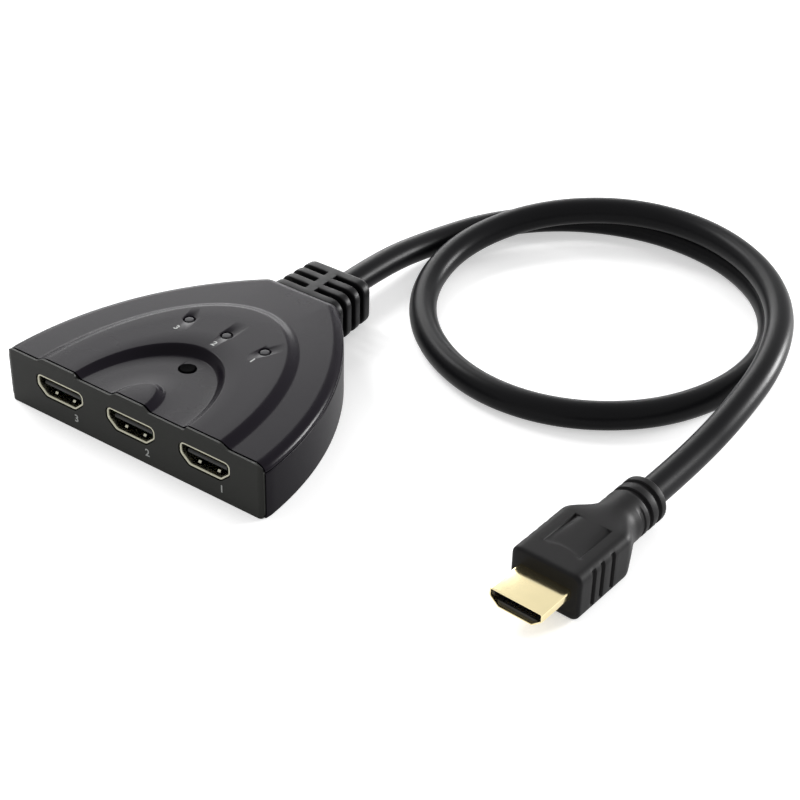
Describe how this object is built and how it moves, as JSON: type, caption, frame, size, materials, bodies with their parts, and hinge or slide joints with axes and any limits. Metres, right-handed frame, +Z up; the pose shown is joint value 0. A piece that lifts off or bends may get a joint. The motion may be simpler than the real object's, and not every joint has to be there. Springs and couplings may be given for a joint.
{
  "type": "hdmi switch box",
  "caption": "Shield-shaped video switch box with a row of sockets, a terraced lid with lamps and a push button, and a fixed black cable that ends in a gold plug.",
  "frame": {"origin": "on the table, under the middle of the bounding box of the case and its rear boot; the free cord and its plug are left out", "axes": "+Z up, -Y out of the sockets at the front, +Y along the cable where it leaves the boot"},
  "size_m": [0.1588, 0.1723, 0.0165],
  "materials": {
    "cover": "satin black ABS with a faint purple cast",
    "lower_shell": "satin black ABS",
    "panel": "satin black ABS",
    "port_metal": "nickel plate",
    "port_plastic": "black moulded nylon",
    "contact_gold": "gold flash",
    "board": "green solder mask",
    "lamp": "smoked clear lens",
    "tinned": "bright tin",
    "switch_plastic": "black nylon",
    "switch_metal": "stamped steel",
    "button": "satin black",
    "chip": "fine matt epoxy",
    "crystal_can": "drawn can",
    "ceramic": "fired ceramic",
    "screw": "zinc plate",
    "boot": "soft matt PVC",
    "jacket": "satin PVC",
    "clamp": "nylon",
    "wire": "thin coloured insulation",
    "plug_body": "satin moulded PVC",
    "plug_gold": "bright gold plate"
  },
  "bodies": {
    "base": {"top_cover": "cover", "bottom_case": "lower_shell", "front_panel": "panel", "hdmi_shell_1": "port_metal", "hdmi_shell_2": "port_metal", "hdmi_shell_3": "port_metal", "hdmi_insulator_1": "port_plastic", "hdmi_insulator_2": "port_plastic", "hdmi_insulator_3": "port_plastic", "plug_insulator": "port_plastic", "hdmi_contacts_1": "contact_gold", "hdmi_contacts_2": "contact_gold", "hdmi_contacts_3": "contact_gold", "plug_contacts": "contact_gold", "main_board": "board", "led_1": "lamp", "led_2": "lamp", "led_3": "lamp", "led_leads": "tinned", "chip_leads": "tinned", "switch_legs": "tinned", "switch_body": "switch_plastic", "switch_cover": "switch_metal", "switch_dome": "switch_metal", "switch_chip": "chip", "memory_chips": "chip", "control_chip": "chip", "crystal": "crystal_can", "ceramic_parts": "ceramic", "case_screws": "screw", "strain_relief": "boot", "cable": "jacket", "cable_tail": "jacket", "cable_clamp": "clamp", "cable_wires": "wire", "plug_housing": "plug_body", "plug_shell": "plug_gold"},
    "button": {"select_button": "button", "switch_plunger": "switch_plastic"}
  },
  "joints": [
    {"name": "select_press", "type": "slide", "parent": "base", "child": "button", "axis": [0, 0, -1], "range_m": [0, 0.0004], "stiffness_N_per_m": 1200}
  ]
}
